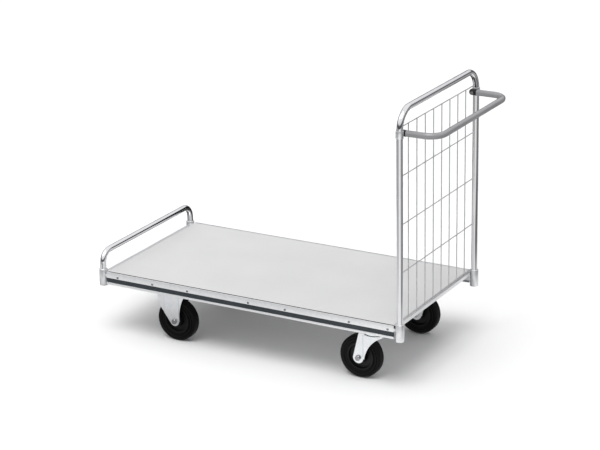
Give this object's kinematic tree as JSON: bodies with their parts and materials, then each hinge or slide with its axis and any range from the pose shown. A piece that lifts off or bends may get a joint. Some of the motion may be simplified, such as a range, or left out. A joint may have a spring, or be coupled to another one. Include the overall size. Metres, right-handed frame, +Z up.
{
  "type": "platform cart",
  "caption": "Flat platform cart with two fixed and two swivel casters, a low end bar, a tall wire-filled end frame and a fold-down push bar.",
  "frame": {"origin": "on the floor under the middle of the cart's overall length and width", "axes": "+X along the cart towards the push bar, +Y towards the cart's right side seen from behind the push bar, +Z up"},
  "size_m": [1.3884, 0.638, 1.029],
  "materials": {
    "board": "light grey laminate, faintly speckled, satin",
    "trim": "satin anodised",
    "rail": "bright zinc-plated pressed steel",
    "bumper": "dark slate rubber, dull",
    "socket": "bright zinc-plated steel",
    "bearer": "zinc-plated pressed steel",
    "fastener": "bright zinc-plated",
    "fork": "bright zinc-plated pressed steel",
    "bearing_steel": "ground steel",
    "tyre": "black rubber, matte",
    "hub": "black moulded plastic",
    "tube": "bright chrome-plated steel tube",
    "wire": "zinc-plated wire",
    "clamp": "zinc-plated steel",
    "sleeve": "mid-grey plastic sleeve, satin",
    "knuckle": "black moulded plastic"
  },
  "bodies": {
    "chassis": {"platform_board": "board", "trim_front": "trim", "trim_rear": "trim", "side_rail_left": "rail", "side_rail_right": "rail", "bumper_left": "bumper", "bumper_right": "bumper", "socket_front_left": "socket", "socket_front_right": "socket", "socket_rear_left": "socket", "socket_rear_right": "socket", "bearer_front": "bearer", "bearer_middle": "bearer", "bearer_rear": "bearer", "end_rail_front": "bearer", "rail_rivets": "fastener", "caster_bolts": "fastener", "caster_nuts": "fastener", "fixed_fork_left": "fork", "fixed_fork_right": "fork", "fixed_axle_bolts": "fastener", "fixed_axle_nuts": "fastener", "fixed_axle_sleeves": "bearing_steel", "swivel_plate_left": "fork", "swivel_plate_right": "fork", "swivel_balls": "bearing_steel", "kingpins": "fastener", "kingpin_nuts": "fastener"},
    "tall_frame": {"tall_frame_tube": "tube", "wire_infill": "wire", "clamp_left": "clamp", "clamp_right": "clamp", "pivot_bolts": "fastener"},
    "push_bar": {"push_bar_core": "tube", "push_bar_sleeve": "sleeve", "knuckle_left": "knuckle", "knuckle_right": "knuckle"},
    "low_bar": {"low_bar_tube": "tube"},
    "wheel_front_left": {"tyre_front_left": "tyre", "hub_front_left": "hub", "bearing_front_left": "bearing_steel"},
    "wheel_front_right": {"tyre_front_right": "tyre", "hub_front_right": "hub", "bearing_front_right": "bearing_steel"},
    "swivel_left": {"swivel_fork_left": "fork", "swivel_axle_bolt_left": "fastener", "swivel_axle_nut_left": "fastener", "swivel_sleeve_left": "bearing_steel"},
    "swivel_right": {"swivel_fork_right": "fork", "swivel_axle_bolt_right": "fastener", "swivel_axle_nut_right": "fastener", "swivel_sleeve_right": "bearing_steel"},
    "wheel_rear_left": {"tyre_rear_left": "tyre", "hub_rear_left": "hub", "bearing_rear_left": "bearing_steel"},
    "wheel_rear_right": {"tyre_rear_right": "tyre", "hub_rear_right": "hub", "bearing_rear_right": "bearing_steel"}
  },
  "joints": [
    {"name": "push_bar_fold", "type": "hinge", "parent": "tall_frame", "child": "push_bar", "pos_m": [0.55125, 0, 0.937], "axis": [0, 1, 0], "range_deg": [0, 85]},
    {"name": "tall_frame_lift", "type": "slide", "parent": "chassis", "child": "tall_frame", "axis": [0, 0, 1], "range_m": [0, 0.08]},
    {"name": "low_bar_lift", "type": "slide", "parent": "chassis", "child": "low_bar", "axis": [0, 0, 1], "range_m": [0, 0.08]},
    {"name": "swivel_left_turn", "type": "hinge", "parent": "chassis", "child": "swivel_left", "pos_m": [0.42025, -0.2305, 0.18], "axis": [0, 0, 1], "continuous": true},
    {"name": "swivel_right_turn", "type": "hinge", "parent": "chassis", "child": "swivel_right", "pos_m": [0.42025, 0.2305, 0.18], "axis": [0, 0, 1], "continuous": true},
    {"name": "wheel_front_left_roll", "type": "hinge", "parent": "chassis", "child": "wheel_front_left", "pos_m": [-0.40125, -0.2305, 0.08], "axis": [0, 1, 0], "continuous": true},
    {"name": "wheel_front_right_roll", "type": "hinge", "parent": "chassis", "child": "wheel_front_right", "pos_m": [-0.40125, 0.2305, 0.08], "axis": [0, 1, 0], "continuous": true},
    {"name": "wheel_rear_left_roll", "type": "hinge", "parent": "swivel_left", "child": "wheel_rear_left", "pos_m": [0.36425, -0.2305, 0.08], "axis": [0, 1, 0], "continuous": true},
    {"name": "wheel_rear_right_roll", "type": "hinge", "parent": "swivel_right", "child": "wheel_rear_right", "pos_m": [0.36425, 0.2305, 0.08], "axis": [0, 1, 0], "continuous": true}
  ]
}
